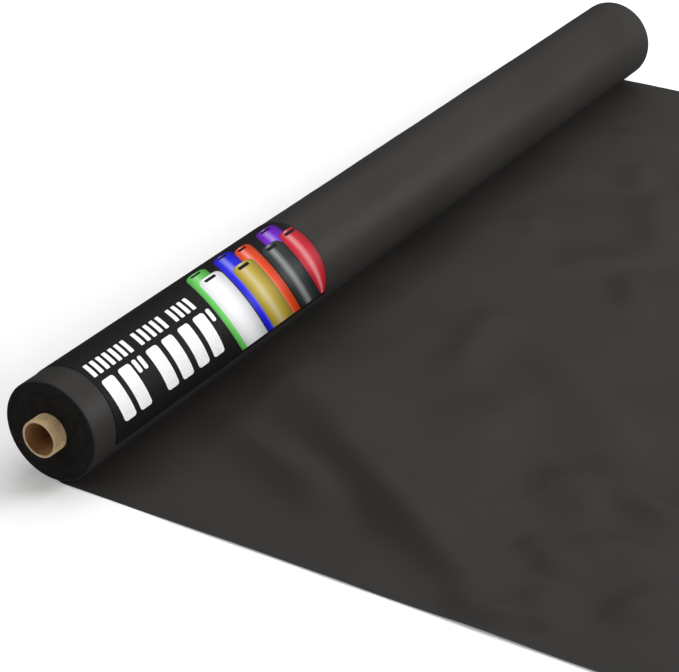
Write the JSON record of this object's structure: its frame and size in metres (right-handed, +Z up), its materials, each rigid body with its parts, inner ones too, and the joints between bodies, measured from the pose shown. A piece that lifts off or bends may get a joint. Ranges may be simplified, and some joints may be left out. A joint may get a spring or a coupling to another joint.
{
  "type": "plastic table cover roll",
  "caption": "Roll of plastic table-cover film on a cardboard core, with its outer end drawn off under the roll and laid out flat.",
  "frame": {"origin": "on the table, straight under the roll's axis, halfway along the roll", "axes": "+Y along the roll's axis towards the end without a label, +X the way the film is laid out, +Z up from the table"},
  "size_m": [0.6537, 1.044, 0.0894],
  "materials": {
    "kraft": "plain brown kraft paper, matt",
    "kraft_pale": "paler core board, matt",
    "kraft_dark": "dark brown core liner, matt",
    "clear_tape": "clear packing tape",
    "black_film": "black polyethylene film, satin",
    "label_print": "coated black label with plain white bars and coloured swatches"
  },
  "bodies": {
    "paid_out": {"paid_out_film": "black_film"},
    "roll": {"core_inner_ply": "kraft_dark", "core_middle_ply": "kraft_pale", "core_outer_ply": "kraft", "start_tape_near": "clear_tape", "start_tape_middle": "clear_tape", "start_tape_far": "clear_tape", "wound_film": "black_film", "label": "label_print"},
    "laid_out": {"laid_film": "black_film"}
  },
  "joints": [
    {"name": "roll_turn", "type": "hinge", "parent": "paid_out", "child": "roll", "pos_m": [0, 0, 0.0451], "axis": [0, -1, 0], "range_deg": [0, 450]},
    {"name": "film_pull", "type": "slide", "parent": "paid_out", "child": "laid_out", "axis": [1, 0, 0], "range_m": [0, 0.3433]}
  ],
  "couplings": [
    {"joint": "film_pull", "follows": "roll_turn", "m_per_rad": 0.0437}
  ]
}
